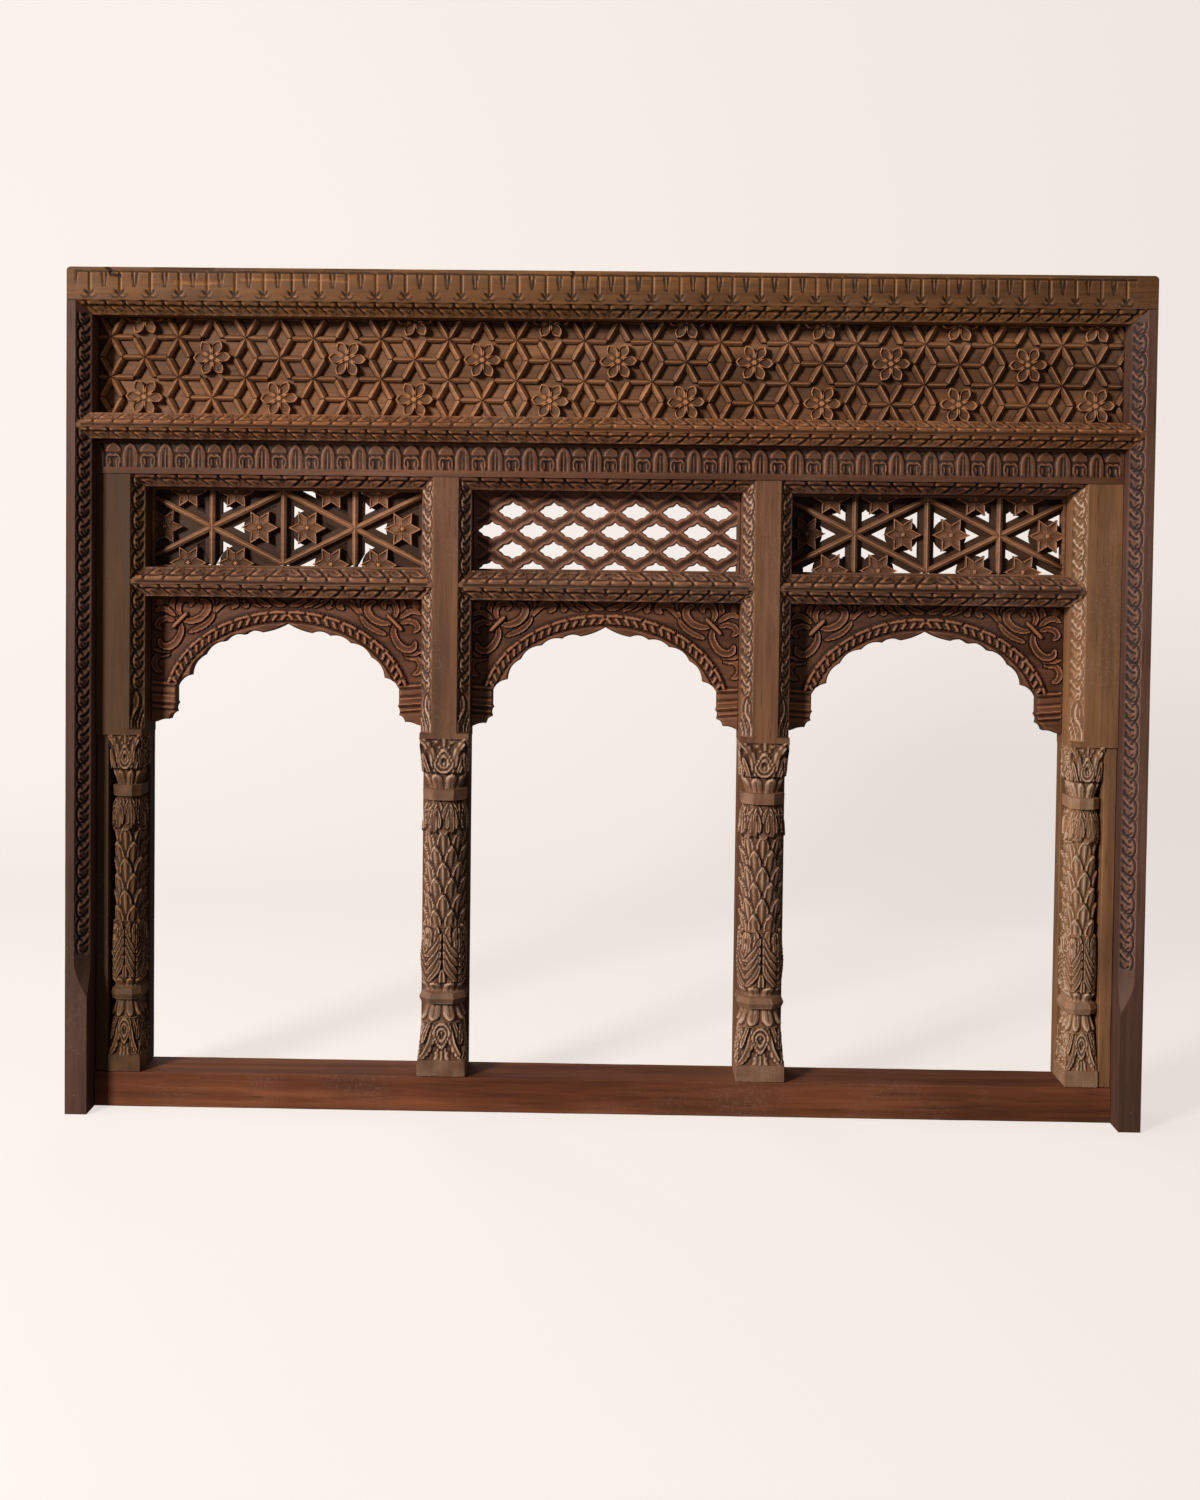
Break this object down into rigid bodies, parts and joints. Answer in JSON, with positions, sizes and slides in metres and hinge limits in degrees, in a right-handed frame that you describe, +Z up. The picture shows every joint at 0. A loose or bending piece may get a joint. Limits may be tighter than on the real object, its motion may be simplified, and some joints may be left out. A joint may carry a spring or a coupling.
{
  "type": "carved arched window",
  "caption": "Carved hardwood window frame: cusped arches between carved posts, under pierced frets, a lattice-and-flower frieze and a petal-carved head beam.",
  "frame": {"origin": "centre of the bounding box's bottom: under the middle of the frame, on the plane its sill and stiles stand on", "axes": "+X along the frame to the right as seen from the carved front, +Y from the front to the back, +Z up; the carved front faces -Y"},
  "size_m": [1.65, 0.13, 1.3],
  "materials": {
    "head_wood": "aged olive-brown hardwood, worn edges",
    "stile_wood": "weathered mauve-grey hardwood",
    "frieze_wood": "aged brown hardwood, dust in the pockets",
    "rail_wood": "aged golden-brown hardwood, worn ridge",
    "lotus_wood": "aged brown hardwood, dusty carving",
    "jamb_wood": "aged yellow-brown hardwood",
    "mullion_wood": "aged yellow to red-brown hardwood",
    "transom_wood": "aged brown hardwood, worn ridge",
    "fret_wood": "weathered greyish-brown hardwood",
    "arch_wood": "aged reddish-brown hardwood",
    "sill_wood": "dark reddish-brown hardwood, chatter marks on top",
    "nail_iron": "worn grey iron"
  },
  "bodies": {
    "root": {"head_beam": "head_wood", "left_stile": "stile_wood", "right_stile": "stile_wood", "frieze_panel": "frieze_wood", "middle_rail": "rail_wood", "lotus_rail": "lotus_wood", "left_jamb_post": "jamb_wood", "left_mullion_post": "mullion_wood", "right_mullion_post": "mullion_wood", "right_jamb_post": "jamb_wood", "left_transom": "transom_wood", "centre_transom": "transom_wood", "right_transom": "transom_wood", "left_fret": "fret_wood", "centre_fret": "fret_wood", "right_fret": "fret_wood", "left_arch": "arch_wood", "centre_arch": "arch_wood", "right_arch": "arch_wood", "sill": "sill_wood", "left_foot_nail": "nail_iron", "right_foot_nail": "nail_iron"}
  },
  "joints": []
}
